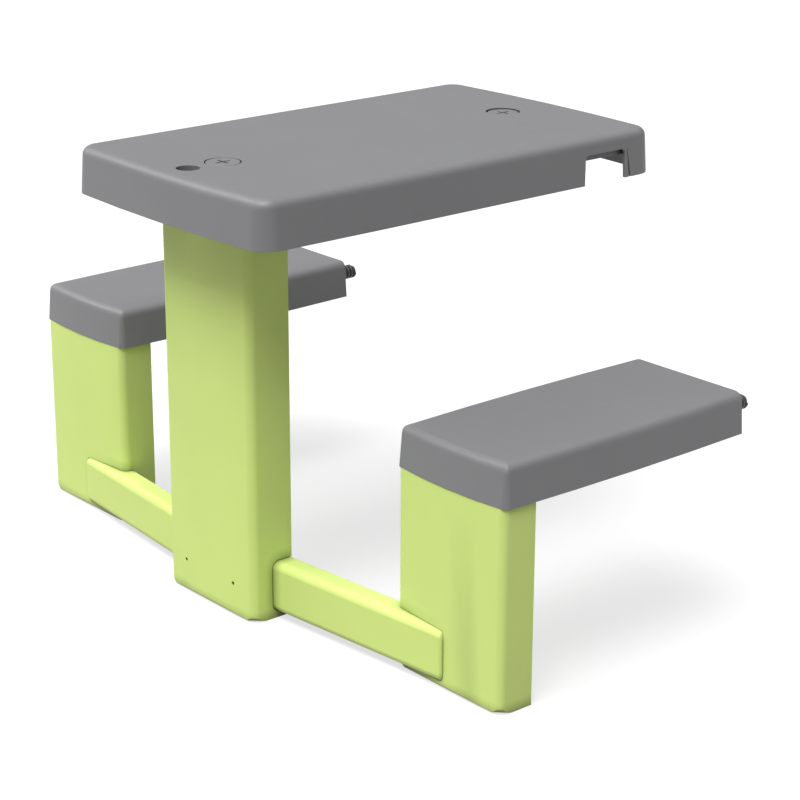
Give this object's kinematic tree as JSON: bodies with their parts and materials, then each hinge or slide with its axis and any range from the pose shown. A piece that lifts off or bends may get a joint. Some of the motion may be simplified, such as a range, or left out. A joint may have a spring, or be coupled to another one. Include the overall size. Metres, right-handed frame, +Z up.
{
  "type": "kids picnic table",
  "caption": "Small children's picnic table with a bench on each side, legs at one end, and a notch and threaded studs that fasten the other end to a playhouse wall.",
  "frame": {"origin": "on the floor, under the middle of the whole part", "axes": "+X towards the right bench seen from the free end, +Y towards the wall end, +Z up"},
  "size_m": [0.822, 0.561, 0.491],
  "materials": {
    "grey_plastic": "satin",
    "lime_plastic": "satin",
    "dark_plastic": "satin",
    "steel": "satin"
  },
  "bodies": {
    "frame": {"table_top": "grey_plastic", "right_bench": "grey_plastic", "left_bench": "grey_plastic", "centre_leg": "lime_plastic", "right_crossbar": "lime_plastic", "left_crossbar": "lime_plastic", "right_bench_leg": "lime_plastic", "left_bench_leg": "lime_plastic", "centre_leg_screws": "steel", "right_bar_screws": "steel", "left_bar_screws": "steel", "right_bench_screws": "steel", "left_bench_screws": "steel"},
    "front_screw": {"front_table_screw": "grey_plastic"},
    "rear_screw": {"rear_table_screw": "grey_plastic"},
    "right_outer_screw": {"right_outer_wall_screw": "dark_plastic"},
    "right_inner_screw": {"right_inner_wall_screw": "dark_plastic"},
    "left_inner_screw": {"left_inner_wall_screw": "dark_plastic"},
    "left_outer_screw": {"left_outer_wall_screw": "dark_plastic"}
  },
  "joints": [
    {"name": "front_screw_turn", "type": "hinge", "parent": "frame", "child": "front_screw", "pos_m": [0, -0.1975, 0.491], "axis": [0, 0, 1], "range_deg": [0, 1800]},
    {"name": "rear_screw_turn", "type": "hinge", "parent": "frame", "child": "rear_screw", "pos_m": [0, 0.1985, 0.4896], "axis": [0, 0, 1], "continuous": true},
    {"name": "right_outer_screw_turn", "type": "hinge", "parent": "frame", "child": "right_outer_screw", "pos_m": [0.3755, 0.168, 0.2398], "axis": [0, 1, 0], "continuous": true},
    {"name": "right_inner_screw_turn", "type": "hinge", "parent": "frame", "child": "right_inner_screw", "pos_m": [0.2785, 0.168, 0.2398], "axis": [0, 1, 0], "continuous": true},
    {"name": "left_inner_screw_turn", "type": "hinge", "parent": "frame", "child": "left_inner_screw", "pos_m": [-0.2785, 0.168, 0.2398], "axis": [0, 1, 0], "continuous": true},
    {"name": "left_outer_screw_turn", "type": "hinge", "parent": "frame", "child": "left_outer_screw", "pos_m": [-0.3755, 0.168, 0.2398], "axis": [0, 1, 0], "continuous": true}
  ]
}
